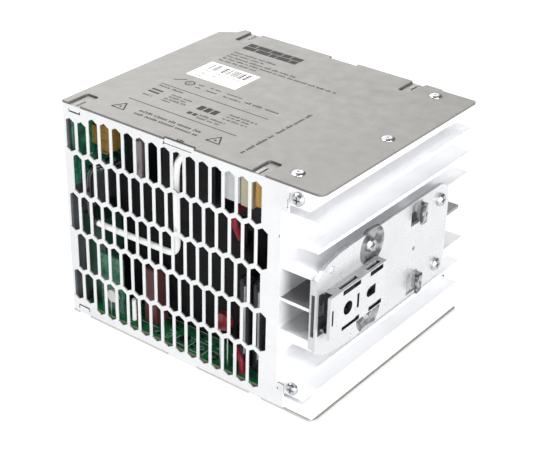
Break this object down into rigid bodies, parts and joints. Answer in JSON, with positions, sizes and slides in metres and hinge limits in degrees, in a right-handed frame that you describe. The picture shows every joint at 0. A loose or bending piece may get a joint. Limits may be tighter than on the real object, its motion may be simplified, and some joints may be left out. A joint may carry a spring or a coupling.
{
  "type": "din rail power supply",
  "caption": "Sheet-metal cased DIN rail power supply with perforated grilles, finned rear heatsink and sprung rail adapter.",
  "frame": {"origin": "middle of the bounding box in X and Y, on the outer face of the plain side panel", "axes": "+X from the front face to the rail adapter, +Y from the grille with the foot catch to the other grille, +Z from the plain side panel to the printed one"},
  "size_m": [0.1616, 0.1336, 0.1209],
  "materials": {
    "panel_champagne": "matte",
    "grille_steel": "satin",
    "fastener_steel": "satin",
    "label_paper": "matte",
    "front_plastic": "matte",
    "terminal_plastic": "matte",
    "terminal_brass": "satin",
    "light_pipe": "gloss",
    "trimmer_blue": "gloss",
    "knob_white": "matte",
    "board_green": "semi-gloss",
    "board_teal": "semi-gloss",
    "sink_aluminium": "satin",
    "zinc_sheet": "satin",
    "spring_steel": "satin",
    "ferrite": "matte",
    "black_wrap": "semi-gloss",
    "copper_enamel": "gloss",
    "capacitor_sleeve": "semi-gloss",
    "film_red": "semi-gloss",
    "cream_plastic": "matte",
    "yellow_epoxy": "gloss",
    "rose_can": "satin",
    "relay_white": "matte",
    "tape_yellow": "semi-gloss",
    "varistor_red": "gloss",
    "ceramic_white": "semi-gloss",
    "pad_grey": "matte",
    "sheet_clear": "satin",
    "sleeve_white": "satin",
    "sleeve_red": "satin"
  },
  "bodies": {
    "case": {"side_panel_right": "panel_champagne", "side_panel_left": "panel_champagne", "bottom_grille": "grille_steel", "top_grille": "grille_steel", "panel_rivets": "fastener_steel", "rating_label": "label_paper", "front_cover": "front_plastic", "input_terminal_block": "terminal_plastic", "output_terminal_block": "terminal_plastic", "signal_terminal_block": "terminal_plastic", "terminal_screws": "fastener_steel", "terminal_clamps": "terminal_brass", "status_lights": "light_pipe", "trimmer_body": "trimmer_blue", "front_board": "board_teal", "main_board": "board_green", "upper_board": "board_green", "board_standoffs": "terminal_brass", "board_screws": "fastener_steel", "control_board": "board_teal", "heatsink": "sink_aluminium", "heatsink_end_screws": "fastener_steel", "rail_adapter": "zinc_sheet", "adapter_screws": "fastener_steel", "catch_spring": "spring_steel", "transformer_core": "ferrite", "transformer_coil": "black_wrap", "transformer_bobbin": "black_wrap", "choke_core": "ferrite", "choke_winding": "copper_enamel", "choke_base": "black_wrap", "filter_choke": "black_wrap", "bulk_capacitors": "capacitor_sleeve", "output_capacitors": "capacitor_sleeve", "film_capacitor": "film_red", "filter_capacitor": "cream_plastic", "yellow_capacitor": "yellow_epoxy", "can_capacitor": "rose_can", "relay": "relay_white", "auxiliary_transformer": "tape_yellow", "varistor": "varistor_red", "ceramic_disc": "ceramic_white", "fuse": "ceramic_white", "fuse_clips": "terminal_brass", "power_transistors": "black_wrap", "insulating_pad": "pad_grey", "transistor_clamp": "zinc_sheet", "clamp_screws": "fastener_steel", "heatsink_insulator": "sheet_clear", "insulating_sheet": "black_wrap", "link_boot": "black_wrap", "sleeved_link": "sleeve_white", "red_lead": "sleeve_red", "lead_sleeve": "black_wrap"},
    "catch": {"foot_catch": "zinc_sheet"},
    "knob": {"trimmer_knob": "knob_white"}
  },
  "joints": [
    {"name": "catch_slide", "type": "slide", "parent": "case", "child": "catch", "axis": [0, -1, 0], "range_m": [0, 0.004], "stiffness_N_per_m": 1500, "springref_m": -0.003, "deforming": ["catch_spring"]},
    {"name": "trimmer_turn", "type": "hinge", "parent": "case", "child": "knob", "pos_m": [-0.0802, -0.05065, 0.105], "axis": [-1, 0, 0], "range_deg": [-135, 135]}
  ]
}
